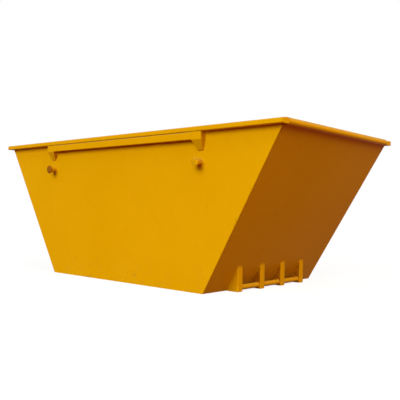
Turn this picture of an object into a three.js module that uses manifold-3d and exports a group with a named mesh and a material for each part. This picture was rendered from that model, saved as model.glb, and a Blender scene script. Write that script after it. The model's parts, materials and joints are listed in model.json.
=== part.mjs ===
// Builders skip: an open steel tub with sloping ends, for lifting by chains and tipping from a lorry.
// Millimetres, +Z up. X runs along the skip (+X is the front end), Y across it (+Y is the left side).
// The origin is on the ground, in the middle of the skip.
// The tub is flat sheet, welded along its edges. A rail stiffens the top of each side and a round tube
// the top of each end. Each side carries two lifting pins under a channel, and each end stands on four
// folded gussets that hold a round tipping bar.

import * as THREE from 'three';
import { mergeVertices } from 'three/addons/utils/BufferGeometryUtils.js';
import Module from 'manifold-3d';

// Whole skip
const overallLength = 3674;      // over the end tubes and the rails' ends
const overallHeight = 1363;      // ground to the top of the end tubes

// Tub, measured outside its sheets
const floorLength = 2052;
const floorWidth = 1624;
const sideFlare = 40;            // how far each side leans out from the ground to its rail
const sideSheet = 3;
const endSheet = 3;
const floorSheet = 5;
const weldGap = 0.3;             // root gap that is left at every welded seam

// Flat bars under the floor
const runnerWidth = 68;
const runnerThickness = 8;

// Side rail: rectangular hollow section, laid flat on the side sheet
const railWidth = 80;
const railHeight = 40;
const railWall = 4;
const railInnerCorner = 4;
const railProud = 54;            // of the side sheet, on the outside
const capThickness = 5;          // of the plates that close the rails and the tubes

// End tube, set between the two rails
const tubeDiameter = 60.3;
const tubeWall = 4;
const tubeProud = 13;            // of the rails' tops
const tubeSetback = 6;           // from the end sheet's outer face in to the tube's axis, measured level

// Channel under the rail, with a folded bracket at each end over a lifting pin
const channelHeight = 64;
const channelWall = 5;
const channelInnerBend = 3;
const bracketWidth = 106;
const bracketWall = 5;
const bracketTaperHeight = 83;   // from the channel's lower face down to the bracket's tip
const bracketTipWidth = 50;
const bracketTipShift = 9;       // of the tip, towards the near end of the skip
const bracketTipDepth = 9;

// Lifting pins
const pinSpacing = 2016;         // between the two pins of a side
const pinBelowBracket = 97;      // from the bracket's tip down to the pin's axis
const pinDiameter = 50;
const pinNeck = 62;              // clear length for the chain link, between sheet and collar
const pinChamfer = 3;
const pinEndProud = 2;           // of the collar's face
const collarDiameter = 80;
const collarThickness = 12;
const collarChamfer = 2;
const padSize = 160;             // square pad inside the tub, round the pin
const padThickness = 8;
const padCornerCut = 30;

// Feet and tipping bar
const gussetCount = 4;
const gussetPitch = 317;
const gussetWidth = 68;
const gussetWall = 6;
const gussetInnerBend = 4;
const footReach = 127;           // from the tub's lower edge out to the gussets' faces
const barDiameter = 45;
const barGroundClearance = 10;

// Facets and cuts
const tubeFacets = 48;
const pinFacets = 32;
const bendFacets = 4;
const overrun = 40;              // how far a cutting solid passes the faces that it cuts

// Sizes that follow from those above
const tubeRadius = tubeDiameter / 2;
const pinRadius = pinDiameter / 2;
const barRadius = barDiameter / 2;
const tubeAxisX = overallLength / 2 - tubeRadius;
const tubeAxisZ = overallHeight - tubeRadius;
const railTop = overallHeight - tubeProud;
const railBottom = railTop - railHeight;
const railSpan = floorWidth + 2 * (sideFlare + railProud);
const tubeSpan = railSpan - 2 * (railWidth + weldGap);

// The outer face of the end sheet runs from the tub's lower edge up past the tube's axis.
const endRun = tubeAxisX + tubeSetback - floorLength / 2;
const endSlope = Math.atan2(endRun, tubeAxisZ);
const endFaceLength = Math.hypot(endRun, tubeAxisZ);
const sideLean = Math.atan2(sideFlare, railBottom);

const endFaceX = (height) => floorLength / 2 + height * Math.tan(endSlope);
const sideFaceY = (height) => floorWidth / 2 + height * Math.tan(sideLean);
const insideEndX = (height) => endFaceX(height) - endSheet / Math.cos(endSlope);
const insideSideY = (height) => sideFaceY(height) - sideSheet / Math.cos(sideLean);

const gussetPlaces = Array.from(
  { length: gussetCount },
  (_, index) => (index - (gussetCount - 1) / 2) * gussetPitch,
);

// Solids that are cut or joined

const wasm = await Module();
wasm.setup();

function toSolid(geometry) {
  const bare = geometry.clone();
  bare.deleteAttribute('normal');
  bare.deleteAttribute('uv');
  const merged = mergeVertices(bare);
  return new wasm.Manifold(new wasm.Mesh({
    numProp: 3,
    vertProperties: new Float32Array(merged.attributes.position.array),
    triVerts: new Uint32Array(merged.index.array),
  }));
}

function toGeometry(solid) {
  const mesh = solid.getMesh();
  const geometry = new THREE.BufferGeometry();
  geometry.setAttribute('position', new THREE.BufferAttribute(mesh.vertProperties, mesh.numProp));
  geometry.setIndex(new THREE.BufferAttribute(mesh.triVerts, 1));
  geometry.computeVertexNormals();
  return geometry;
}

function cut(geometry, ...tools) {
  let solid = toSolid(geometry);
  for (const tool of tools) {
    solid = solid.subtract(toSolid(tool));
  }
  return toGeometry(solid);
}

// Shapes and the ways they are extruded

// An outline drawn in (Y, Z), extruded along X and centred on X = 0.
function extrudeAlongX(shape, length, curveSegments = bendFacets) {
  const geometry = new THREE.ExtrudeGeometry(shape, { depth: length, bevelEnabled: false, curveSegments });
  geometry.translate(0, 0, -length / 2);
  const toYZ = new THREE.Matrix4().makeBasis(
    new THREE.Vector3(0, 1, 0),
    new THREE.Vector3(0, 0, 1),
    new THREE.Vector3(1, 0, 0),
  );
  return geometry.applyMatrix4(toYZ);
}

// An outline drawn in (X, Z), extruded along Y and centred on Y = 0.
function extrudeAlongY(shape, length, curveSegments = bendFacets) {
  const geometry = new THREE.ExtrudeGeometry(shape, { depth: length, bevelEnabled: false, curveSegments });
  geometry.translate(0, 0, -length / 2);
  const toXZ = new THREE.Matrix4().makeBasis(
    new THREE.Vector3(1, 0, 0),
    new THREE.Vector3(0, 0, 1),
    new THREE.Vector3(0, -1, 0),
  );
  return geometry.applyMatrix4(toXZ);
}

function circlePath(x, y, radius) {
  const path = new THREE.Path();
  path.absarc(x, y, radius, 0, Math.PI * 2, false);
  return path;
}

// A rectangle with round corners, centred on the origin.
function roundedRectangle(Outline, width, height, radius) {
  const right = width / 2 - radius;
  const top = height / 2 - radius;
  const outline = new Outline();
  outline.moveTo(-right, -height / 2);
  outline.absarc(right, -top, radius, -Math.PI / 2, 0, false);
  outline.absarc(right, top, radius, 0, Math.PI / 2, false);
  outline.absarc(-right, top, radius, Math.PI / 2, Math.PI, false);
  outline.absarc(-right, -top, radius, Math.PI, Math.PI * 1.5, false);
  return outline;
}

// A folded channel: back open at u = 0, web at u = depth, flanges at v = 0 and v = width.
function channelProfile(depth, width, wall, innerRadius) {
  const bendRadius = innerRadius + wall;
  const outerU = depth - bendRadius;
  const shape = new THREE.Shape();
  shape.moveTo(0, 0);
  shape.absarc(outerU, bendRadius, bendRadius, -Math.PI / 2, 0, false);
  shape.absarc(outerU, width - bendRadius, bendRadius, 0, Math.PI / 2, false);
  shape.lineTo(0, width);
  shape.lineTo(0, width - wall);
  shape.absarc(outerU, width - bendRadius, innerRadius, Math.PI / 2, 0, true);
  shape.absarc(outerU, bendRadius, innerRadius, 0, -Math.PI / 2, true);
  shape.lineTo(0, wall);
  return shape;
}

// A unit box whose corners are moved by place(u, v, w), with u, v and w between 0 and 1.
function warpedBox(place, heightSteps = 1) {
  const geometry = new THREE.BoxGeometry(1, 1, 1, 1, 1, heightSteps);
  const position = geometry.attributes.position;
  for (let index = 0; index < position.count; index += 1) {
    const [x, y, z] = place(
      position.getX(index) + 0.5,
      position.getY(index) + 0.5,
      position.getZ(index) + 0.5,
    );
    position.setXYZ(index, x, y, z);
  }
  return geometry;
}

// Finishes

const finishes = {
  paint: { color: 0xdc9f00, roughness: 0.45, metalness: 0.1 },
  wornSteel: { color: 0x6e4a24, roughness: 0.6, metalness: 0.6 },
};

function piece(name, geometry, finish = 'paint') {
  const mesh = new THREE.Mesh(geometry, new THREE.MeshStandardMaterial(finishes[finish]));
  mesh.name = name;
  return mesh;
}

// Floor: the sheet lies on its runners, inside the skirt that the side and end sheets make

function makeFloor() {
  const floor = new THREE.Group();
  const length = 2 * (insideEndX(runnerThickness) - weldGap);
  const width = 2 * (insideSideY(runnerThickness) - weldGap);
  const sheet = piece('floor_plate', new THREE.BoxGeometry(length, width, floorSheet));
  sheet.position.z = runnerThickness + floorSheet / 2;
  floor.add(sheet);

  // The end sheet is cut square, so its lower inner corner lies nearest to the runner.
  const runnerLength = 2 * (floorLength / 2 - endSheet * Math.cos(endSlope) - weldGap);
  gussetPlaces.forEach((place, index) => {
    const bar = new THREE.BoxGeometry(runnerLength, runnerWidth, runnerThickness);
    const runner = piece(`floor_runner_${index + 1}`, bar);
    runner.position.set(0, place, runnerThickness / 2);
    floor.add(runner);
  });
  return floor;
}

// Side: the leaning sheet and all that is welded to it, and the rail.
// The rear pins carry the skip when it is tipped, and chains have worn their paint off.

const sheetTop = (railBottom - weldGap - sideSheet * Math.sin(sideLean)) / Math.cos(sideLean);

// The channel and brackets come out flush with the rail's face where they meet it.
const bracketDepth = railProud / Math.cos(sideLean);
const bracketTop = sheetTop;
const bracketKnee = bracketTop - channelHeight;
const bracketTip = bracketKnee - bracketTaperHeight;
const pinPlaceZ = bracketTip - pinBelowBracket;
const padDepth = sideSheet + weldGap + padThickness;

function makeSideSheet() {
  const topX = endFaceX(sheetTop * Math.cos(sideLean));
  const outline = new THREE.Shape();
  outline.moveTo(-floorLength / 2, 0);
  outline.lineTo(floorLength / 2, 0);
  outline.lineTo(topX, sheetTop);
  outline.lineTo(-topX, sheetTop);
  outline.closePath();
  for (const side of [1, -1]) {
    outline.holes.push(circlePath(side * pinSpacing / 2, pinPlaceZ, pinRadius + weldGap));
  }
  const sheet = extrudeAlongY(outline, sideSheet, pinFacets);
  sheet.translate(0, -sideSheet / 2, 0);
  return sheet;
}

function makeChannel() {
  const length = pinSpacing - bracketWidth - 2 * weldGap;
  const profile = channelProfile(bracketDepth - weldGap, channelHeight, channelWall, channelInnerBend);
  const channel = extrudeAlongX(profile, length);
  channel.translate(0, weldGap, bracketKnee);
  return channel;
}

// The bracket is as deep as the channel beside it, then narrows and falls back to the sheet at its tip,
// just above the pin. Its inner edge slants more than its outer one, which points to the skip's end.
// It is folded from one blank and open towards the sheet and the rail.
function makeBracket(outwards) {
  const fold = (levels) => warpedBox((u, v, w) => {
    const level = levels[Math.round(w * (levels.length - 1))];
    const x = level.middle + (u - 0.5) * level.width;
    return [x, level.back + v * (level.front - level.back), level.height];
  }, 2);
  const tip = { middle: outwards * bracketTipShift, width: bracketTipWidth, front: weldGap + bracketTipDepth };
  const outside = fold([
    { ...tip, height: bracketTip, back: weldGap },
    { height: bracketKnee, middle: 0, width: bracketWidth, back: weldGap, front: bracketDepth },
    { height: bracketTop, middle: 0, width: bracketWidth, back: weldGap, front: bracketDepth },
  ]);
  const inWidth = 2 * bracketWall;
  const bottom = bracketTip + bracketWall;
  const rise = bracketWall / bracketTaperHeight;
  const knee = {
    middle: 0,
    width: bracketWidth - inWidth,
    back: -overrun,
    front: bracketDepth - bracketWall,
  };
  const inside = fold([
    {
      height: bottom,
      middle: THREE.MathUtils.lerp(tip.middle, 0, rise),
      width: THREE.MathUtils.lerp(tip.width, bracketWidth, rise) - inWidth,
      back: -overrun,
      front: THREE.MathUtils.lerp(tip.front, bracketDepth, rise) - bracketWall,
    },
    { ...knee, height: bracketKnee },
    { ...knee, height: bracketTop + overrun },
  ]);
  return cut(outside, inside);
}

// The pin passes through the sheet and the pad, and its outer end carries the collar.
function makePin() {
  const outerEnd = pinNeck + collarThickness + pinEndProud;
  const profile = [
    [0, -padDepth],
    [pinRadius, -padDepth],
    [pinRadius, outerEnd - pinChamfer],
    [pinRadius - pinChamfer, outerEnd],
    [0, outerEnd],
  ];
  return new THREE.LatheGeometry(profile.map(([r, y]) => new THREE.Vector2(r, y)), pinFacets);
}

function makeCollar() {
  const bore = pinRadius + weldGap;
  const rim = collarDiameter / 2;
  const profile = [
    [bore, pinNeck],
    [rim - collarChamfer, pinNeck],
    [rim, pinNeck + collarChamfer],
    [rim, pinNeck + collarThickness - collarChamfer],
    [rim - collarChamfer, pinNeck + collarThickness],
    [bore, pinNeck + collarThickness],
    [bore, pinNeck],
  ];
  return new THREE.LatheGeometry(profile.map(([r, y]) => new THREE.Vector2(r, y)), pinFacets);
}

// The square pad has its corners cut off, and takes the pin's load inside the tub.
function makePad() {
  const half = padSize / 2;
  const outline = new THREE.Shape();
  outline.moveTo(-half + padCornerCut, -half);
  outline.lineTo(half - padCornerCut, -half);
  outline.lineTo(half, -half + padCornerCut);
  outline.lineTo(half, half - padCornerCut);
  outline.lineTo(half - padCornerCut, half);
  outline.lineTo(-half + padCornerCut, half);
  outline.lineTo(-half, half - padCornerCut);
  outline.lineTo(-half, -half + padCornerCut);
  outline.closePath();
  outline.holes.push(circlePath(0, 0, pinRadius + weldGap));
  const pad = extrudeAlongY(outline, padThickness, pinFacets);
  pad.translate(0, -sideSheet - weldGap - padThickness / 2, 0);
  return pad;
}

// The rail runs the whole length of the skip, and a plate closes each of its ends.
function makeRail() {
  const outline = roundedRectangle(THREE.Shape, railWidth, railHeight, railInnerCorner + railWall);
  const boreWidth = railWidth - 2 * railWall;
  const boreHeight = railHeight - 2 * railWall;
  outline.holes.push(roundedRectangle(THREE.Path, boreWidth, boreHeight, railInnerCorner));
  return extrudeAlongX(outline, overallLength - 2 * (capThickness + weldGap));
}

function makeRailCap() {
  const outline = roundedRectangle(THREE.Shape, railWidth, railHeight, railInnerCorner + railWall);
  return extrudeAlongX(outline, capThickness);
}

function makeSide(sideName, plusEnd, minusEnd) {
  const side = new THREE.Group();
  const top = new THREE.Group();
  top.position.set(0, railSpan / 2 - railWidth / 2, railTop - railHeight / 2);
  top.add(piece(`side_rail_${sideName}`, makeRail()));
  side.add(top);

  // In this frame Y points out of the sheet and Z runs up it.
  const leaning = new THREE.Group();
  leaning.position.y = floorWidth / 2;
  leaning.rotation.x = -sideLean;
  side.add(leaning);
  leaning.add(piece(`side_panel_${sideName}`, makeSideSheet()));
  leaning.add(piece(`lug_channel_${sideName}`, makeChannel()));

  for (const [endName, direction] of [[plusEnd, 1], [minusEnd, -1]]) {
    const railCap = piece(`rail_cap_${endName}_${sideName}`, makeRailCap());
    railCap.position.x = direction * (overallLength - capThickness) / 2;
    top.add(railCap);

    const place = direction * pinSpacing / 2;
    const bracket = piece(`lug_bracket_${sideName}_${endName}`, makeBracket(direction));
    bracket.position.x = place;
    leaning.add(bracket);
    const pinFinish = endName === 'rear' ? 'wornSteel' : 'paint';
    const pinParts = [
      ['lug_pin', makePin(), pinFinish],
      ['lug_collar', makeCollar(), pinFinish],
      ['lug_pad', makePad(), 'paint'],
    ];
    for (const [partName, geometry, finish] of pinParts) {
      const part = piece(`${partName}_${sideName}_${endName}`, geometry, finish);
      part.position.set(place, 0, pinPlaceZ);
      leaning.add(part);
    }
  }
  return side;
}

// End: the sloping sheet, the tube with its caps, and the feet with the tipping bar

function makeEndSheet() {
  const top = endFaceLength - tubeSetback * Math.sin(endSlope) - tubeRadius - weldGap;
  const halfWidthAt = (upSlope) => insideSideY(upSlope * Math.cos(endSlope)) - weldGap;
  const outline = new THREE.Shape();
  outline.moveTo(-halfWidthAt(0), 0);
  outline.lineTo(halfWidthAt(0), 0);
  outline.lineTo(halfWidthAt(top), top);
  outline.lineTo(-halfWidthAt(top), top);
  outline.closePath();
  const sheet = extrudeAlongX(outline, endSheet);
  sheet.translate(-endSheet / 2, 0, 0);
  return sheet;
}

function makeTube() {
  const outline = new THREE.Shape();
  outline.absarc(0, 0, tubeRadius, 0, Math.PI * 2, false);
  outline.holes.push(circlePath(0, 0, tubeRadius - tubeWall));
  return extrudeAlongY(outline, tubeSpan - 2 * (capThickness + weldGap), tubeFacets);
}

const footFaceX = floorLength / 2 + footReach;
const barX = footFaceX - gussetWall - gussetInnerBend - weldGap - barRadius;
const barZ = barGroundClearance + barRadius;

// The gusset is a folded channel that stands with its web outwards. It is cut on the slant to sit
// against the end sheet, and its cheeks are bored where the tipping bar passes. An end gusset is
// bored on one cheek only, so that the other one closes the bar's end.
function makeGusset(boresRight, boresLeft) {
  const height = footReach / Math.tan(endSlope) + overrun;
  const profile = channelProfile(footReach, gussetWidth, gussetWall, gussetInnerBend);
  const channel = new THREE.ExtrudeGeometry(profile, {
    depth: height,
    bevelEnabled: false,
    curveSegments: bendFacets,
  });
  channel.translate(floorLength / 2, -gussetWidth / 2, 0);

  const slant = new THREE.BoxGeometry(
    footReach + overrun,
    gussetWidth + overrun,
    height / Math.cos(endSlope) + 2 * overrun,
  );
  slant.translate(weldGap - (footReach + overrun) / 2, 0, height / 2);
  slant.rotateY(endSlope);
  slant.translate(floorLength / 2, 0, 0);

  const boreRadius = barRadius + weldGap;
  const boreLength = gussetWidth / 2 + overrun;
  const bores = [];
  for (const [bored, direction] of [[boresRight, -1], [boresLeft, 1]]) {
    if (bored) {
      const bore = new THREE.CylinderGeometry(boreRadius, boreRadius, boreLength, pinFacets);
      bore.translate(barX, direction * boreLength / 2, barZ);
      bores.push(bore);
    }
  }
  return cut(channel, slant, ...bores);
}

function makeBar() {
  const span = (gussetCount - 1) * gussetPitch + gussetWidth - 2 * (gussetWall + weldGap);
  return new THREE.CylinderGeometry(barRadius, barRadius, span, pinFacets);
}

function makeEnd(endName, sideNames) {
  const end = new THREE.Group();
  const slope = new THREE.Group();
  slope.position.x = floorLength / 2;
  slope.rotation.y = endSlope;
  slope.add(piece(`end_plate_${endName}`, makeEndSheet()));
  end.add(slope);

  const tube = piece(`end_tube_${endName}`, makeTube());
  tube.position.set(tubeAxisX, 0, tubeAxisZ);
  end.add(tube);
  for (const [sideName, direction] of [[sideNames[0], 1], [sideNames[1], -1]]) {
    const disc = new THREE.CylinderGeometry(tubeRadius, tubeRadius, capThickness, tubeFacets);
    const cap = piece(`tube_cap_${endName}_${sideName}`, disc);
    cap.position.set(tubeAxisX, direction * (tubeSpan - capThickness) / 2, tubeAxisZ);
    end.add(cap);
  }

  gussetPlaces.forEach((place, index) => {
    const geometry = makeGusset(index > 0, index < gussetCount - 1);
    const gusset = piece(`foot_gusset_${endName}_${index + 1}`, geometry);
    gusset.position.y = place;
    end.add(gusset);
  });
  const bar = piece(`tipping_bar_${endName}`, makeBar());
  bar.position.set(barX, 0, barZ);
  end.add(bar);
  return end;
}

// The skip looks the same from both ends, so the second side and the second end are turned copies.

const skip = new THREE.Group();
skip.add(makeFloor());

const rightSide = makeSide('right', 'rear', 'front');
rightSide.rotation.z = Math.PI;
skip.add(makeSide('left', 'front', 'rear'), rightSide);

const rearEnd = makeEnd('rear', ['right', 'left']);
rearEnd.rotation.z = Math.PI;
skip.add(makeEnd('front', ['left', 'right']), rearEnd);

export default skip;
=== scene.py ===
"""Builders skip: painted steel tub on its feet, seen from its front right corner.

Metres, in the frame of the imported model: +X is the front end, +Y the left side, +Z up.
"""
import json
import math

import bmesh
import bpy
from mathutils import Matrix, Vector, geometry, kdtree, noise


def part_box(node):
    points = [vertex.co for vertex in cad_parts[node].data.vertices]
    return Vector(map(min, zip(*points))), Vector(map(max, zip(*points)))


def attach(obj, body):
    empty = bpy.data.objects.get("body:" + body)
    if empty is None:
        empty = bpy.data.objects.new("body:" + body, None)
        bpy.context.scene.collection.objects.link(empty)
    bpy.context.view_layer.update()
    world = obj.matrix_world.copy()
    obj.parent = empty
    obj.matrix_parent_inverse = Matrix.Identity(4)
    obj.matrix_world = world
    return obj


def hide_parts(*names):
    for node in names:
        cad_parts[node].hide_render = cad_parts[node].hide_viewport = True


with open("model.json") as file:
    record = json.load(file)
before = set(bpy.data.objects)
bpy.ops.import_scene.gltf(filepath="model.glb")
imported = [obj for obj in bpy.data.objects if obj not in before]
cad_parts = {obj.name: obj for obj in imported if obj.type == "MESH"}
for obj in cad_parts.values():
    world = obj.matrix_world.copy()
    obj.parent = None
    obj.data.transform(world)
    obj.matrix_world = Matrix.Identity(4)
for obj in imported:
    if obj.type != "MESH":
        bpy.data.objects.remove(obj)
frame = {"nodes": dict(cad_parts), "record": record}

NODES = frame["nodes"]
MOUNTS = {mount["name"]: mount for mount in frame["record"]["mounts"]}
SLOT_OF = {part["node"]: part["material_slot"] for part in frame["record"]["subparts"]}
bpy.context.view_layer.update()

SIDES = (("left", 1), ("right", -1))
ENDS = (("front", 1), ("rear", -1))
FEET = (1, 2, 3, 4)              # the gussets of one end, and the runners in line with them

scene = bpy.context.scene
scene.view_settings.view_transform = "Standard"


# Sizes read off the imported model

FLOOR_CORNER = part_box("floor_plate")[1]
PANEL_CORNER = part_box("side_panel_left")[1]
TUBE_LOW, TUBE_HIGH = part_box("end_tube_front")
TUBE_RADIUS = (TUBE_HIGH.z - TUBE_LOW.z) / 2
TUBE_AXIS = (TUBE_HIGH + TUBE_LOW) / 2
PIN_LOW, PIN_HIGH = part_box("lug_pin_left_front")
PIN_HEIGHT = ((PIN_LOW + PIN_HIGH) / 2).z
COLLAR_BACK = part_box("lug_collar_left_rear")[0].y
FEET_CORNERS = [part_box(f"foot_gusset_front_{foot}")[1] for foot in FEET]
FOOT_TOP = FEET_CORNERS[0].z
FEET_HALF_WIDTH = max(point.y for point in FEET_CORNERS) - 0.002  # just inside the outer sides
OUTER_FOOT = FEET_HALF_WIDTH * 0.7  # lies between an outermost foot and the next one


# Camera

PICTURE_WIDTH = 400
FOCAL_PIXELS = 581.302
SENSOR_WIDTH = 36
CAMERA_PLACE = Vector((4.12988, -4.34033, 0.69636))
CAMERA_AZIMUTH = math.radians(41.72023)
CAMERA_PITCH = math.radians(0.77654)
CAMERA_ROLL = math.radians(1.02969)


def make_camera():
    data = bpy.data.cameras.new("camera")
    data.sensor_width = SENSOR_WIDTH
    data.lens = FOCAL_PIXELS * SENSOR_WIDTH / PICTURE_WIDTH
    data.clip_start = 0.05
    data.clip_end = 200
    camera = bpy.data.objects.new("camera", data)
    scene.collection.objects.link(camera)
    scene.camera = camera
    ahead = Vector((
        -math.sin(CAMERA_AZIMUTH) * math.cos(CAMERA_PITCH),
        math.cos(CAMERA_AZIMUTH) * math.cos(CAMERA_PITCH),
        math.sin(CAMERA_PITCH),
    ))
    level = Vector((math.cos(CAMERA_AZIMUTH), math.sin(CAMERA_AZIMUTH), 0))
    upright = level.cross(ahead)
    right = math.cos(CAMERA_ROLL) * level + math.sin(CAMERA_ROLL) * upright
    up = -math.sin(CAMERA_ROLL) * level + math.cos(CAMERA_ROLL) * upright
    turn = Matrix((right, up, -ahead)).transposed()
    camera.matrix_world = Matrix.Translation(CAMERA_PLACE) @ turn.to_4x4()


make_camera()


# Node trees, written as Python expressions

class Wire:
    """An output socket. Arithmetic on it adds Math nodes to its tree."""

    def __init__(self, socket):
        self.socket = socket

    def math(self, operation, *terms):
        node = self.socket.id_data.nodes.new("ShaderNodeMath")
        node.operation = operation
        for socket, term in zip(node.inputs, terms):
            feed(socket, term)
        return Wire(node.outputs[0])

    def __add__(self, other):
        return self.math("ADD", self, other)

    def __radd__(self, other):
        return self.math("ADD", other, self)

    def __sub__(self, other):
        return self.math("SUBTRACT", self, other)

    def __rsub__(self, other):
        return self.math("SUBTRACT", other, self)

    def __mul__(self, other):
        return self.math("MULTIPLY", self, other)

    def __rmul__(self, other):
        return self.math("MULTIPLY", other, self)

    def __gt__(self, other):
        return self.math("GREATER_THAN", self, other)

    def __lt__(self, other):
        return self.math("LESS_THAN", self, other)

    def most(self, other):
        return self.math("MAXIMUM", self, other)

    def size(self):
        return self.math("ABSOLUTE", self)


def feed(socket, value):
    """Sets a socket to a value, or links it to a wire."""
    if isinstance(value, Wire):
        socket.id_data.links.new(value.socket, socket)
    else:
        socket.default_value = value


class Tree:
    """A shader or geometry tree. One method makes every kind of node but Math."""

    def __init__(self, tree):
        self.tree = tree

    def node(self, kind, settings=None, sockets=None, output=0):
        node = self.tree.nodes.new(kind)
        for name, value in (settings or {}).items():
            setattr(node, name, value)
        for name, value in (sockets or {}).items():
            feed(node.inputs[name], value)
        return Wire(node.outputs[output]) if node.outputs else None

    def ramp(self, wire, low, high, start=0.0, end=1.0):
        """Goes smoothly from start, where the wire is at low, to end, where it is at high."""
        return self.node(
            "ShaderNodeMapRange",
            {"interpolation_type": "SMOOTHSTEP", "clamp": True},
            {0: wire, 1: low, 2: high, 3: start, 4: end},
        )

    def blend(self, factor, first, second):
        """Mixes two colours."""
        colours = {0: factor, 6: first, 7: second}
        return self.node("ShaderNodeMix", {"data_type": "RGBA"}, colours, 2)

    def along(self, vector, axis):
        return self.node("ShaderNodeSeparateXYZ", sockets={0: vector}, output=axis)

    def shown(self):
        """1 for a ray that shows the backdrop: seen straight, mirrored or through glass."""
        shown = self.node("ShaderNodeLightPath", output="Is Camera Ray")
        shown = shown.most(self.node("ShaderNodeLightPath", output="Is Glossy Ray"))
        return shown.most(self.node("ShaderNodeLightPath", output="Is Transmission Ray"))


# Finishes

class Finish(Tree):
    """A material on one Principled shader, with the patterns that the finishes share."""

    def __init__(self, name):
        self.material = bpy.data.materials.new(name)
        self.material.use_nodes = True
        super().__init__(self.material.node_tree)
        self.shader = self.tree.nodes["Principled BSDF"]
        self.place = self.node("ShaderNodeTexCoord", output="Object")
        facing = self.node("ShaderNodeNewGeometry", output="Normal")
        self.up = self.along(facing, "Z")
        self.aside = self.along(facing, "Y")
        self.x = self.along(self.place, "X")
        self.y = self.along(self.place, "Y")
        self.height = self.along(self.place, "Z")

    def grain(self, scale, detail=3.0, stretch=None, roughness=0.5):
        """Noise from 0 to 1, mostly near the middle."""
        vector = self.place
        if stretch:
            vector = self.node("ShaderNodeMapping", sockets={"Vector": vector, "Scale": stretch})
        sockets = {"Vector": vector, "Scale": scale, "Detail": detail, "Roughness": roughness}
        return self.node("ShaderNodeTexNoise", sockets=sockets, output="Fac")

    def painted_mask(self, name):
        return self.node("ShaderNodeAttribute", {"attribute_name": name}, output="Fac")

    def bump(self, height, distance, normal=None, strength=1.0):
        sockets = {"Height": height, "Distance": distance, "Strength": strength}
        if normal:
            sockets["Normal"] = normal
        return self.node("ShaderNodeBump", sockets=sockets)

    def set(self, **values):
        for name, value in values.items():
            feed(self.shader.inputs[name.replace("_", " ")], value)


YELLOW = (0.712, 0.372, 0.0, 1)
PALE_YELLOW = (0.732, 0.388, 0.001, 1)
DEEP_YELLOW = (0.68, 0.34, 0.0, 1)
DUST = (0.34, 0.22, 0.09, 1)
# colour of the grime and painted shade between the feet
GRIME_AND_SHADE = (0.27, 0.055, 0.004, 1)
PRIMER = (0.20, 0.075, 0.02, 1)
BARE_STEEL = (0.36, 0.14, 0.008, 1)
RUST = (0.26, 0.08, 0.004, 1)

PAINT_ROUGHNESS = 0.36
PAINT_IOR = 1.07
PAINT_SHINE = (1.0, 0.6, 0.1, 1)
STEEL_ROUGHNESS = 0.7
STEEL_IOR = 1.1
STEEL_SHINE = (1.0, 0.6, 0.2, 1)

PEEL_DEPTH = 0.00012             # the fine unevenness of sprayed paint
CHIP_DEPTH = 0.0004
PIT_DEPTH = 0.0004
# how strongly the grime and painted shade between the feet shows: on the sides that face a foot,
# and on the sheet
THICK_GRIME_AND_SHADE = 0.8
THIN_GRIME_AND_SHADE = 0.32
SPLASHED_DUST = 0.06


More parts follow.
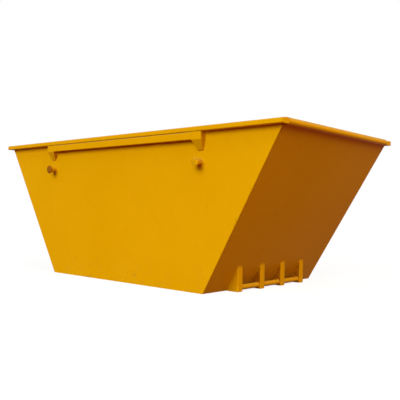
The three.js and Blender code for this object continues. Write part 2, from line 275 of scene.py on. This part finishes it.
def make_yellow_paint():
    paint = Finish("yellow_paint")
    edge = paint.painted_mask("edge")
    inside = paint.painted_mask("inside")

    tone = paint.grain(1.1, 3)
    mottle = paint.grain(9, 4)
    colour = paint.blend(paint.ramp(tone, 0.35, 0.65), YELLOW, PALE_YELLOW)
    colour = paint.blend(paint.ramp(mottle, 0.45, 0.75, 0, 0.25), colour, DEEP_YELLOW)

    # Damp grime and painted shade between the feet, darker low down: thick on the sides that face
    # a foot, where the next foot casts its shadow, thin on the sheet that faces down over them.
    between_feet = (paint.y.size() < FEET_HALF_WIDTH) * (paint.x.size() > FLOOR_CORNER.x)
    faces_a_foot = paint.y * paint.aside < OUTER_FOOT
    grime_and_shade_on_feet = paint.ramp(paint.aside.size(), 0.7, 0.9, 0, THICK_GRIME_AND_SHADE) * faces_a_foot
    grime_and_shade_on_feet = grime_and_shade_on_feet * paint.ramp(paint.height, FOOT_TOP - 0.04, FOOT_TOP, 1, 0.3)
    grime_and_shade_on_sheet = paint.ramp(paint.up, -0.45, -0.3, THIN_GRIME_AND_SHADE, 0)
    grime_and_shade_on_sheet = grime_and_shade_on_sheet * paint.ramp(paint.height, FOOT_TOP - 0.14, FOOT_TOP + 0.02, 1, 0)
    patches = paint.ramp(paint.grain(24, 5), 0.35, 0.6, 0.65, 1)
    colour = paint.blend(between_feet * grime_and_shade_on_feet.most(grime_and_shade_on_sheet) * patches, colour, GRIME_AND_SHADE)

    # Dust settles on what faces up, most on the rim, and is splashed on the lowest parts.
    settled = paint.ramp(paint.up, 0.05, 0.65)
    settled = settled * paint.ramp(paint.grain(6, 5), 0.3, 0.7, 0.35, 0.75)
    settled = settled * (1 - inside * 0.5) * paint.ramp(paint.height, 0.1, 0.6, 0.3, 1)
    splashed = paint.ramp(paint.height, 0.02, 0.32, 1, 0)
    splashed = splashed * paint.ramp(paint.grain(14, 6), 0.45, 0.75, 0, SPLASHED_DUST)
    dust = settled.most(splashed)
    colour = paint.blend(dust, colour, DUST)

    # Rubble scuffs the inside in level streaks, and fine scratches run over every sheet.
    streaks = paint.grain(3.5, 6, (1.0, 1.0, 14.0), 0.65)
    scratches = paint.ramp(paint.grain(60, 3, (0.12, 0.12, 1.0)), 0.63, 0.72, 0, 0.5)
    scuffs = paint.ramp(streaks, 0.58, 0.72) * inside
    scuffs = scuffs.most(scratches * (0.15 + 0.85 * inside))
    colour = paint.blend(scuffs * 0.55, colour, PALE_YELLOW)

    # Chips show the primer at their rims and rusted steel in their middle. There are more of them
    # at edges, inside the tub and near the ground.
    chipping = paint.grain(95, 4, roughness=0.55) + (paint.grain(7, 2) - 0.5) * 0.45
    chipping = chipping + edge * 0.07 + inside * 0.08 - 0.1
    chipping = chipping + paint.ramp(paint.height, 0.0, 0.3, 0.03, 0)
    chips = paint.ramp(chipping, 0.655, 0.675)
    colour = paint.blend(chips, colour, PRIMER)
    colour = paint.blend(paint.ramp(chipping, 0.69, 0.71), colour, RUST)

    roughness = PAINT_ROUGHNESS + (mottle - 0.5) * 0.12
    roughness = roughness + dust * 0.35 + scuffs * 0.18 + chips * 0.35
    normal = paint.bump(paint.grain(420, 2), PEEL_DEPTH, strength=0.6)
    normal = paint.bump(1 - chips, CHIP_DEPTH, normal)
    paint.set(Base_Color=colour, Roughness=roughness, Normal=normal)
    paint.set(IOR=PAINT_IOR, Specular_Tint=PAINT_SHINE)
    return paint.material


def make_worn_steel():
    """Rusted steel where the chains rub, with paint left on the pin's neck behind the collar."""
    steel = Finish("worn_steel")
    rub = steel.grain(18, 4)
    pits = steel.grain(120, 4)
    colour = steel.blend(steel.ramp(rub, 0.35, 0.65), RUST, BARE_STEEL)
    colour = steel.blend(steel.ramp(pits, 0.52, 0.7, 0, 0.7), colour, PRIMER)
    ragged = steel.y.size() + (rub - 0.5) * 0.012
    painted = steel.ramp(ragged, COLLAR_BACK - 0.008, COLLAR_BACK - 0.003, 1, 0)
    colour = steel.blend(painted, colour, YELLOW)
    bare = steel.ramp(rub, 0.4, 0.65, 0.05, 0.25) * (1 - painted)
    roughness = STEEL_ROUGHNESS - bare * 0.5 + (pits - 0.5) * 0.2
    normal = steel.bump(pits, PIT_DEPTH)
    steel.set(Base_Color=colour, Metallic=bare, Roughness=roughness, Normal=normal)
    steel.set(IOR=STEEL_IOR, Specular_Tint=STEEL_SHINE)
    return steel.material


FINISHES = {"yellow_paint": make_yellow_paint(), "worn_steel": make_worn_steel()}


# Light and floor

WHITE = (1, 1, 1, 1)
SKY_TOP = 0.65
SKY_BASE = 0.1                   # the same from every side
SKY_FRONT = 0.6
SKY_FRONT_COLOUR = (1.0, 0.45, 0.12, 1)
FLOOR_HALF = 60.0
FLOOR_BOUNCE = (0.16, 0.02, 0.003, 1)
FLOOR_SHADE = (0.16, 0.16, 0.16, 1)  # the part of the floor's white that takes shadows
FLOOR_GLOW = 0.88
LAMP_COLOUR = (1.0, 0.85, 0.66)


def make_world():
    """A sky that is brighter overhead and warmer off the front end, and is seen as white."""
    world = bpy.data.worlds.new("studio")
    scene.world = world
    world.use_nodes = True
    world.node_tree.nodes.clear()
    sky = Tree(world.node_tree)
    direction = sky.node("ShaderNodeTexCoord", output="Generated")
    overhead = sky.ramp(sky.along(direction, "Z"), 0.3, 0.95, SKY_BASE, SKY_TOP)
    frontal = sky.ramp(sky.along(direction, "X"), 0, 1, 0, SKY_FRONT)

    def glow(colour, strength):
        return sky.node("ShaderNodeBackground", sockets={"Color": colour, "Strength": strength})

    both = {0: glow(WHITE, overhead), 1: glow(SKY_FRONT_COLOUR, frontal)}
    light = sky.node("ShaderNodeAddShader", sockets=both)
    backdrop = glow(WHITE, 1.0)
    mix = sky.node("ShaderNodeMixShader", sockets={0: sky.shown(), 1: light, 2: backdrop})
    sky.node("ShaderNodeOutputWorld", sockets={"Surface": mix})


def make_floor():
    """A floor that is seen as white with the skip's shadow, and throws warm light back up."""
    mesh = bpy.data.meshes.new("floor")
    corners = ((-1, -1), (1, -1), (1, 1), (-1, 1))
    mesh.from_pydata([(x * FLOOR_HALF, y * FLOOR_HALF, 0) for x, y in corners], [], [(0, 1, 2, 3)])
    floor = bpy.data.objects.new("floor", mesh)
    scene.collection.objects.link(floor)
    material = bpy.data.materials.new("studio_floor")
    material.use_nodes = True
    material.node_tree.nodes.clear()
    ground = Tree(material.node_tree)
    bounce = ground.node("ShaderNodeBsdfDiffuse", sockets={"Color": FLOOR_BOUNCE})
    shade = ground.node("ShaderNodeBsdfDiffuse", sockets={"Color": FLOOR_SHADE})
    glow = ground.node("ShaderNodeEmission", sockets={"Color": WHITE, "Strength": FLOOR_GLOW})
    white = ground.node("ShaderNodeAddShader", sockets={0: shade, 1: glow})
    mix = ground.node("ShaderNodeMixShader", sockets={0: ground.shown(), 1: bounce, 2: white})
    ground.node("ShaderNodeOutputMaterial", sockets={"Surface": mix})
    mesh.materials.append(material)


def make_lamp(name, kind, place, target, energy, **settings):
    data = bpy.data.lights.new(name, kind)
    data.energy = energy
    for setting, value in settings.items():
        setattr(data, setting, value)
    lamp = bpy.data.objects.new(name, data)
    turn = (Vector(target) - Vector(place)).to_track_quat("-Z", "Y").to_matrix().to_4x4()
    lamp.matrix_world = Matrix.Translation(place) @ turn
    lamp.visible_camera = False
    scene.collection.objects.link(lamp)


make_world()
make_floor()
make_lamp("key", "SUN", (0.4, -5.2, 2.6), (0, 0, 0), 2.56, angle=math.radians(42))
make_lamp("front", "AREA", (6.7, -1.7, 6.3), (1.4, 0, 0.6), 326, size=3.3, color=LAMP_COLOUR)


# Shapes taken from the CAD nodes

MERGE_DISTANCE = 2e-5
FLAT_ANGLE = math.radians(0.5)   # faces that turn less than this are one face
FACES_THAT_WAY = 0.8             # least cosine between a face's normal and the way asked for
ON_PLANE = 0.0002                # a point this near a plane lies on it
LEVEL_RISE = 0.002               # a side that rises less than this is level


def merged(node):
    """A node's mesh, with its loose triangles joined into whole faces."""
    mesh = bmesh.new()
    mesh.from_mesh(NODES[node].data)
    bmesh.ops.remove_doubles(mesh, verts=mesh.verts, dist=MERGE_DISTANCE)
    bmesh.ops.dissolve_limit(mesh, angle_limit=FLAT_ANGLE, verts=mesh.verts, edges=mesh.edges)
    return mesh


def largest_face(node, toward):
    """The edges of a node's largest face that looks the given way, as pairs of points."""
    mesh = merged(node)
    toward = Vector(toward).normalized()
    facing = [face for face in mesh.faces if face.normal.dot(toward) > FACES_THAT_WAY]
    face = max(facing, key=lambda each: each.calc_area())
    edges = [tuple(vertex.co.copy() for vertex in edge.verts) for edge in face.edges]
    mesh.free()
    return edges


def middle(edge):
    return (edge[0] + edge[1]) / 2


def furthest_edge(edges, toward):
    """The edge that lies furthest the given way."""
    return max(edges, key=lambda edge: middle(edge).dot(Vector(toward)))


def corner(node, toward):
    """The corner of a node that lies furthest the given way."""
    toward = Vector(toward)
    points = (vertex.co for vertex in NODES[node].data.vertices)
    return max(points, key=lambda point: point.dot(toward)).copy()


def outline_on(node, place, normal, across, up):
    """The closed outline of a node's points on a plane, as seen along the plane's normal."""
    points = [vertex.co.copy() for vertex in NODES[node].data.vertices]
    points = [point for point in points if abs((point - place).dot(normal)) < ON_PLANE]
    flat = [Vector((point.dot(across), point.dot(up))) for point in points]
    hull = [points[index] for index in geometry.convex_hull_2d(flat)]
    return hull + hull[:1]


def opened(outline, across, up):
    """A closed outline without its longest level side, which is along the top or the ground."""
    hull = outline[:-1]

    def reach(index, way):
        return abs(hull[index].dot(way) - hull[index - 1].dot(way))

    level = [index for index in range(len(hull)) if reach(index, up) < LEVEL_RISE]
    start = max(level, key=lambda index: reach(index, across))
    return hull[start:] + hull[:start]


# Refined pieces

WEAR_REACH = 0.009               # how far wear spreads from an edge
WEAR_STEP = 0.004                # between the points that stand for an edge
SHARP_ANGLE = math.radians(32)
CUT_OFFSET = 0.0003              # keeps the cuts off the solids' own corners
CUT_TOLERANCE = 1e-6
SHEETS = ("side_panel", "end_plate", "floor_plate")


def sharp_edges(mesh):
    paired = (edge for edge in mesh.edges if len(edge.link_faces) == 2)
    return [edge for edge in paired if edge.calc_face_angle() > SHARP_ANGLE]


def points_on_edges(mesh):
    """Points along the mesh's sharp edges, for measuring how near an edge is."""
    points = []
    for edge in sharp_edges(mesh):
        first, last = (vertex.co for vertex in edge.verts)
        count = max(1, math.ceil((last - first).length / WEAR_STEP))
        points += [first.lerp(last, index / count) for index in range(count + 1)]
    tree = kdtree.KDTree(len(points))
    for index, point in enumerate(points):
        tree.insert(point, index)
    tree.balance()
    return tree


def cut_into_cells(mesh, spacing):
    """Cuts the mesh along planes at a steady spacing on each axis that has one."""
    for axis, step in enumerate(spacing):
        if step:
            normal = Vector([float(axis == other) for other in range(3)])
            places = [vertex.co[axis] for vertex in mesh.verts]
            first = math.ceil(min(places) / step) * step
            for index in range(int((max(places) - first) / step) + 1):
                plane = normal * (first + index * step + CUT_OFFSET)
                whole = mesh.verts[:] + mesh.edges[:] + mesh.faces[:]
                bmesh.ops.bisect_plane(
                    mesh, geom=whole, plane_co=plane, plane_no=normal, dist=CUT_TOLERANCE,
                )


def faces_inwards(node, vertex):
    """Whether a vertex lies on the side of a tub sheet that the load rubs."""
    if node.startswith("floor_plate"):
        return vertex.normal.z > 0.5
    if not node.startswith(SHEETS):
        return False
    axis = 1 if node.startswith("side_panel") else 0
    return vertex.normal[axis] * vertex.co[axis] < 0


def within(point, low, high):
    """The point, moved into the box if it is outside."""
    return [min(max(value, low[axis]), high[axis]) for axis, value in enumerate(point)]


def refine(node, bevel, spacing=(0, 0, 0), segments=2, wave=None):
    """Makes the piece that stands for a node. Its edges are rounded, wear is marked on its cells,
    and a sheet is gently waved. It never stands outside the node's box."""
    mesh = merged(node)
    near_edge = points_on_edges(mesh)
    if bevel:
        bmesh.ops.bevel(
            mesh, geom=sharp_edges(mesh), offset=bevel, segments=segments, profile=0.5,
            affect="EDGES", clamp_overlap=True,
        )
    cut_into_cells(mesh, spacing)
    edge_layer = mesh.verts.layers.float.new("edge")
    inside_layer = mesh.verts.layers.float.new("inside")
    mesh.normal_update()
    for vertex in mesh.verts:
        distance = near_edge.find(vertex.co)[2]
        vertex[edge_layer] = 0 if distance is None else max(0.0, 1 - distance / WEAR_REACH)
        vertex[inside_layer] = float(faces_inwards(node, vertex))
    low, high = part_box(node)
    for vertex in mesh.verts:
        if wave:
            vertex.co += wave(vertex.co)
        vertex.co = within(vertex.co, low, high)
    finish_piece(mesh, node)


def finish_piece(mesh, node):
    name, slot = f"{node}_steel", SLOT_OF[node]
    data = bpy.data.meshes.new(name)
    mesh.to_mesh(data)
    mesh.free()
    data.shade_smooth()
    data.set_sharp_from_angle(angle=SHARP_ANGLE)
    data.materials.append(FINISHES[slot])
    piece = bpy.data.objects.new(name, data)
    scene.collection.objects.link(piece)
    shading = piece.modifiers.new("even_shading", "WEIGHTED_NORMAL")
    shading.keep_sharp = True
    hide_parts(node)
    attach(piece, "root")


# The sheets' waves. Each dies out towards the seams that hold the sheet.

PANEL_WAVE = 0.001
SEAM_FLAT = 0.02                 # strip along a seam that stays flat
SEAM_FADE = 0.16                 # distance from a seam at which the wave is whole
BELOW_PINS = (0.32, 0.12)        # depths below the pins between which the side's wave dies out
BELOW_TUBE = (0.2, 0.05)
ABOVE_FEET = (0.02, 0.2)


def smooth_step(value, low, high):
    share = min(1.0, max(0.0, (value - low) / (high - low)))
    return share * share * (3 - 2 * share)


def end_reach(height):
    """How far from the middle the end sheets are at a height."""
    return FLOOR_CORNER.x + (TUBE_AXIS.x - FLOOR_CORNER.x) * height / TUBE_AXIS.z


def side_reach(height):
    return FLOOR_CORNER.y + (PANEL_CORNER.y - FLOOR_CORNER.y) * height / PANEL_CORNER.z


def swell(point, seed):
    """A slow wave between about -1 and 1 over a sheet, with a smaller and shorter one on it."""
    spot = Vector((point.x * 1.5 + seed, point.y * 1.5, point.z * 1.9))
    return 1.7 * noise.noise(spot) + 0.35 * noise.noise(spot * 2.7)


def side_wave(sign):
    pins = [PIN_HEIGHT - depth for depth in BELOW_PINS]

    def move(point):
        margin = end_reach(point.z) - abs(point.x)
        fade = smooth_step(margin, SEAM_FLAT, SEAM_FADE)
        fade *= smooth_step(point.z, SEAM_FLAT, SEAM_FADE)
        fade *= 1 - smooth_step(point.z, *pins)
        return Vector((0, PANEL_WAVE * fade * swell(point, 3.1 * sign), 0))
    return move


def end_wave(sign):
    feet = [FOOT_TOP + height for height in ABOVE_FEET]
    tube = [TUBE_AXIS.z - depth for depth in BELOW_TUBE]

    def move(point):
        margin = side_reach(point.z) - abs(point.y)
        fade = smooth_step(margin, SEAM_FLAT, SEAM_FADE) * smooth_step(point.z, *feet)
        fade *= 1 - smooth_step(point.z, *tube)
        return Vector((PANEL_WAVE * fade * swell(point, 8.7 + 2.3 * sign), 0, 0))
    return move


# Each piece with the rounding of its edges, and the size of its cells along X, Y and Z

for side, sign in SIDES:
    refine(f"side_panel_{side}", 0.0007, (0.06, 0, 0.06), wave=side_wave(sign))
    refine(f"side_rail_{side}", 0, (0.12, 0, 0))
    refine(f"lug_channel_{side}", 0.0006, (0.08, 0, 0))
    for end, _ in ENDS:
        refine(f"lug_bracket_{side}_{end}", 0.0022, (0.012, 0.012, 0.012), segments=3)
        refine(f"lug_pin_{side}_{end}", 0.0008, (0, 0.01, 0))
        refine(f"lug_collar_{side}_{end}", 0.0006)
        refine(f"lug_pad_{side}_{end}", 0.0012, (0.012, 0, 0.012))
        refine(f"tube_cap_{end}_{side}", 0.0009)
        refine(f"rail_cap_{end}_{side}", 0.0012)
for end, direction in ENDS:
    refine(f"end_plate_{end}", 0.0007, (0.05, 0.06, 0), wave=end_wave(direction))
    refine(f"end_tube_{end}", 0, (0, 0.1, 0))
    refine(f"tipping_bar_{end}", 0.001, (0, 0.05, 0))
    for foot in FEET:
        refine(f"foot_gusset_{end}_{foot}", 0.0011, (0.014, 0.014, 0.014))
refine("floor_plate", 0.0007, (0.08, 0.08, 0))
for foot in FEET:
    refine(f"floor_runner_{foot}", 0.0012, (0.08, 0, 0))


# Weld beads

BEAD_STEP = 0.0032
BEAD_FACETS = 6
BEAD_RIPPLE = 0.2                # from one bead ring to the next, as a share of the leg
BEAD_WANDER = 0.5                # slower unevenness, as a share of the leg
UNEVEN_SCALE = 90.0
CLEAR_HEIGHT = 1.5               # least height of a seam over the ground, as a share of its leg


def make_bead_tree():
    """Turns edges into weld beads: a rippled rope that is as thick as each point's leg says."""
    group = bpy.data.node_groups.new("weld_bead", "GeometryNodeTree")
    for name, kind, flow in (
        ("Seams", "NodeSocketGeometry", "INPUT"),
        ("Step", "NodeSocketFloat", "INPUT"),
        ("Ripple", "NodeSocketFloat", "INPUT"),
        ("Wander", "NodeSocketFloat", "INPUT"),
        ("Facets", "NodeSocketInt", "INPUT"),
        ("Paint", "NodeSocketMaterial", "INPUT"),
        ("Beads", "NodeSocketGeometry", "OUTPUT"),
    ):
        group.interface.new_socket(name=name, in_out=flow, socket_type=kind)
    tree = Tree(group)
    entry = group.nodes.new("NodeGroupInput")
    given = {socket.name: Wire(socket) for socket in entry.outputs if socket.name}
    curve = tree.node("GeometryNodeMeshToCurve", sockets={"Mesh": given["Seams"]})
    curve = tree.node(
        "GeometryNodeResampleCurve", {"mode": "LENGTH"}, {"Curve": curve, "Length": given["Step"]},
    )
    leg = tree.node("GeometryNodeInputNamedAttribute", {"data_type": "FLOAT"}, {"Name": "leg"})
    number = tree.node("GeometryNodeInputIndex")
    odd = number.math("MODULO", number, 2)
    spot = tree.node("GeometryNodeInputPosition")
    uneven = tree.node(
        "ShaderNodeTexNoise", sockets={"Vector": spot, "Scale": UNEVEN_SCALE, "Detail": 2.0},
        output="Fac",
    )
    swing = 1 + (odd - 0.5) * given["Ripple"] + (uneven - 0.5) * given["Wander"]
    ring = tree.node(
        "GeometryNodeCurvePrimitiveCircle", {"mode": "RADIUS"},
        {"Resolution": given["Facets"], "Radius": 1.0},
    )
    rope = tree.node(
        "GeometryNodeCurveToMesh",
        sockets={"Curve": curve, "Profile Curve": ring, "Scale": leg * swing, "Fill Caps": True},
    )
    rope = tree.node("GeometryNodeSetShadeSmooth", sockets={"Geometry": rope})
    rope = tree.node("GeometryNodeRealizeInstances", sockets={"Geometry": rope})
    rope = tree.node(
        "GeometryNodeSetMaterial", sockets={"Geometry": rope, "Material": given["Paint"]},
    )
    tree.node("NodeGroupOutput", sockets={"Beads": rope})
    return group


BEAD_TREE = make_bead_tree()


def clear_of_ground(path, leg):
    """The path, cut back where an end of its bead would reach below the ground."""
    path = [Vector(point) for point in path]
    least = leg * CLEAR_HEIGHT
    for _ in ("start", "end"):
        while len(path) > 2 and path[0].z < least and path[1].z < least:
            path.pop(0)
        if path[0].z < least < path[1].z:
            share = (least - path[0].z) / (path[1].z - path[0].z)
            path[0] = path[0].lerp(path[1], share)
        path.reverse()
    return path


def lay_out(name, seams):
    """An object of loose edges along the seams, with each seam's leg on its points."""
    points, edges, legs = [], [], []
    for path, leg in seams:
        path = clear_of_ground(path, leg)
        first = len(points)
        points += [tuple(point) for point in path]
        legs += [leg] * len(path)
        edges += [(first + index, first + index + 1) for index in range(len(path) - 1)]
    data = bpy.data.meshes.new(name)
    data.from_pydata(points, edges, [])
    data.attributes.new("leg", "FLOAT", "POINT").data.foreach_set("value", legs)
    layout = bpy.data.objects.new(name, data)
    scene.collection.objects.link(layout)
    return layout


def make_beads(name, seams, slot="yellow_paint"):
    """Lays one weld bead along each seam, which is a list of points and the bead's leg."""
    layout = lay_out(f"{name}_seams", seams)
    modifier = layout.modifiers.new("weld", "NODES")
    modifier.node_group = BEAD_TREE
    inputs = {
        "Step": BEAD_STEP, "Ripple": BEAD_RIPPLE, "Wander": BEAD_WANDER, "Facets": BEAD_FACETS,
        "Paint": FINISHES[slot],
    }
    for socket in BEAD_TREE.interface.items_tree:
        if socket.name in inputs:
            modifier[socket.identifier] = inputs[socket.name]
    view = bpy.context.evaluated_depsgraph_get()
    beads = bpy.data.meshes.new_from_object(layout.evaluated_get(view))
    beads.name = name
    bpy.data.objects.remove(layout)
    piece = bpy.data.objects.new(name, beads)
    scene.collection.objects.link(piece)
    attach(piece, "root")


# Seams. Each is a path with its bead's leg, and no bead stands outside the solids' own box.

RIM_LEG = 0.0045
SEAM_LEG = 0.0035
CORNER_LEG = 0.0024
FLOOR_LEG = 0.0032
LUG_LEG = 0.003
PIN_ROOT_LEG = 0.0042
PIN_END_LEG = 0.0017
PIN_PAD_LEG = 0.0022
PAD_LEG = 0.0032
FOOT_LEG = 0.0038
BAR_LEG = 0.0034
RUNNER_LEG = 0.003

ROOT_GAP = 0.0003                # between the solids that a bead joins
PIN_REACH = 0.076                # from the side sheet out to the pin's end
PIN_RADIUS = 0.025
PIN_ROOT_RING = PIN_RADIUS + 0.0015  # radii of the seams round the pin: at the side sheet,
PIN_END_RING = PIN_RADIUS + 0.0008   # on the collar
PIN_PAD_RING = PIN_RADIUS + 0.0005   # and on the pad
PIN_END_INSET = 0.0022           # from the pin's end in to the bead on its collar
PAD_BACK = 0.0033                # from the side sheet's outer face in to the pad
PAD_FACE = 0.0113
PAD_INSET = 0.0015               # keeps the pad's bead from showing through the sheet
BAR_MARGIN = 0.001               # from the tipping bar out to the seam round it
FLOOR_INSET = 0.002              # keeps the floor's bead from showing through the sheets
BRACKET_MARGIN = 0.004           # from a lug bracket to the rim seam that stops at it
CAP_THICKNESS = 0.005            # of the disc between the end tube and the side rail
INNER_ARC = range(144, 230, 6)   # degrees round the end tube, on the side that faces the tub
RING_POINTS = 24
ACROSS = Vector((1, 0, 0))


def circle(centre, normal, radius):
    """A closed ring of points round an axis."""
    turn = Vector(normal).to_track_quat("Z", "Y")
    angles = [2 * math.pi * index / RING_POINTS for index in range(RING_POINTS + 1)]
    rim = [Vector((radius * math.cos(angle), radius * math.sin(angle), 0)) for angle in angles]
    return [centre + turn @ point for point in rim]


def tub_seams():
    seams = []
    for end, direction in ENDS:
        outer = largest_face(f"end_plate_{end}", (direction, 0, -0.5))
        seams.append((furthest_edge(outer, (0, 0, 1)), RIM_LEG))
        for side, sign in SIDES:
            seams.append((furthest_edge(outer, (0, sign, 0)), CORNER_LEG))
            panel_end = corner(f"side_panel_{side}", (direction, sign, 1))
            bracket_end = panel_end.copy()
            bracket = corner(f"lug_bracket_{side}_{end}", (direction, 0, 0))
            bracket_end.x = bracket.x + direction * BRACKET_MARGIN
            seams.append(((panel_end, bracket_end), SEAM_LEG))
    return seams


def inner_seams():
    low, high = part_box("floor_plate")
    inset = Vector((FLOOR_INSET, FLOOR_INSET, 0))
    low, high = low + inset, high - inset
    corners = ((low.x, low.y), (high.x, low.y), (high.x, high.y), (low.x, high.y), (low.x, low.y))
    seams = [([Vector((x, y, high.z)) for x, y in corners], FLOOR_LEG)]
    tube_end = Vector((TUBE_AXIS.x, TUBE_HIGH.y + CAP_THICKNESS, TUBE_AXIS.z))
    angles = [math.radians(angle) for angle in INNER_ARC]
    rim = [tube_end + TUBE_RADIUS * Vector((math.cos(a), 0, math.sin(a))) for a in angles]
    for end, direction in ENDS:
        inner = largest_face(f"end_plate_{end}", (-direction, 0, 0.5))
        seams.append((furthest_edge(inner, (0, 0, 1)), RIM_LEG))
        seams += [(furthest_edge(inner, (0, sign, 0)), SEAM_LEG) for _, sign in SIDES]
        for _, sign in SIDES:
            seams.append(([Vector((direction * p.x, sign * p.y, p.z)) for p in rim], SEAM_LEG))
    for side, sign in SIDES:
        ends = [corner(f"side_panel_{side}", (direction, -sign, 1)) for _, direction in ENDS]
        seams.append((ends, SEAM_LEG))
    return seams


def lug_seams():
    """The seams of the lugs, and apart from them the rings at the rear pins' worn ends."""
    seams = []
    pin_ends = {"front": [], "rear": []}
    for side, sign in SIDES:
        back = [corner(f"lug_channel_{side}", (direction, -sign, -0.5)) for _, direction in ENDS]
        seams.append((back, LUG_LEG))
        for end, _ in ENDS:
            mount = MOUNTS[f"lug_end_{side}_{end}"]
            normal = Vector(mount["axis"])
            foot = Vector(mount["pos_m"]) - normal * PIN_REACH
            up = normal.cross(ACROSS)
            up *= 1 if up.z > 0 else -1
            plane = foot + normal * ROOT_GAP
            bracket = outline_on(f"lug_bracket_{side}_{end}", plane, normal, ACROSS, up)
            seams.append((opened(bracket, ACROSS, up), LUG_LEG))
            seams.append((circle(foot, normal, PIN_ROOT_RING), PIN_ROOT_LEG))
            pin_end = foot + normal * (PIN_REACH - PIN_END_INSET)
            pin_ends[end].append((circle(pin_end, normal, PIN_END_RING), PIN_END_LEG))
            plane = foot - normal * PAD_BACK
            pad = outline_on(f"lug_pad_{side}_{end}", plane, normal, ACROSS, up)
            seams.append(([point - normal * PAD_INSET for point in pad], PAD_LEG))
            seams.append((circle(foot - normal * PAD_FACE, normal, PIN_PAD_RING), PIN_PAD_LEG))
    return seams + pin_ends["front"], pin_ends["rear"]


def foot_seams():
    seams = []
    along_end = Vector((0, 1, 0))
    for end, direction in ENDS:
        outer = largest_face(f"end_plate_{end}", (direction, 0, -0.5))
        lower, upper = furthest_edge(outer, (0, 0, -1)), furthest_edge(outer, (0, 0, 1))
        rise = (middle(upper) - middle(lower)).normalized()
        normal = Vector((0, direction, 0)).cross(rise)
        plane = middle(lower) + normal * ROOT_GAP
        bar_low, bar_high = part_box(f"tipping_bar_{end}")
        bar = (bar_low + bar_high) / 2
        bar_radius = (bar_high.z - bar_low.z) / 2
        for foot in FEET:
            gusset = f"foot_gusset_{end}_{foot}"
            outline = outline_on(gusset, plane, normal, along_end, rise)
            seams.append((opened(outline, along_end, rise), FOOT_LEG))
            low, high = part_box(gusset)
            for face in (low.y, high.y):
                if bar_low.y < face < bar_high.y:
                    centre = Vector((bar.x, face, bar.z))
                    seams.append((circle(centre, along_end, bar_radius + BAR_MARGIN), BAR_LEG))
    return seams


RUNNER_STITCH = 0.08
RUNNER_PITCH = 0.24
RUNNER_MARGIN = 0.05


def runner_seams():
    """Short stitches along both sides of each runner."""
    seams = []
    for foot in FEET:
        low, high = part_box(f"floor_runner_{foot}")
        count = int((high.x - low.x) / RUNNER_PITCH)
        room = high.x - low.x - 2 * RUNNER_MARGIN - RUNNER_STITCH
        for y in (low.y, high.y):
            for stitch in range(count):
                start = low.x + RUNNER_MARGIN + stitch * room / (count - 1)
                ends = [Vector((x, y, high.z)) for x in (start, start + RUNNER_STITCH)]
                seams.append((ends, RUNNER_LEG))
    return seams


make_beads("weld_beads_outside", tub_seams())
make_beads("weld_beads_inside", inner_seams())
LUG_SEAMS, WORN_SEAMS = lug_seams()
make_beads("weld_beads_lugs", LUG_SEAMS)
make_beads("weld_beads_rear_pins", WORN_SEAMS, "worn_steel")
make_beads("weld_beads_feet", foot_seams())
make_beads("weld_beads_runners", runner_seams())
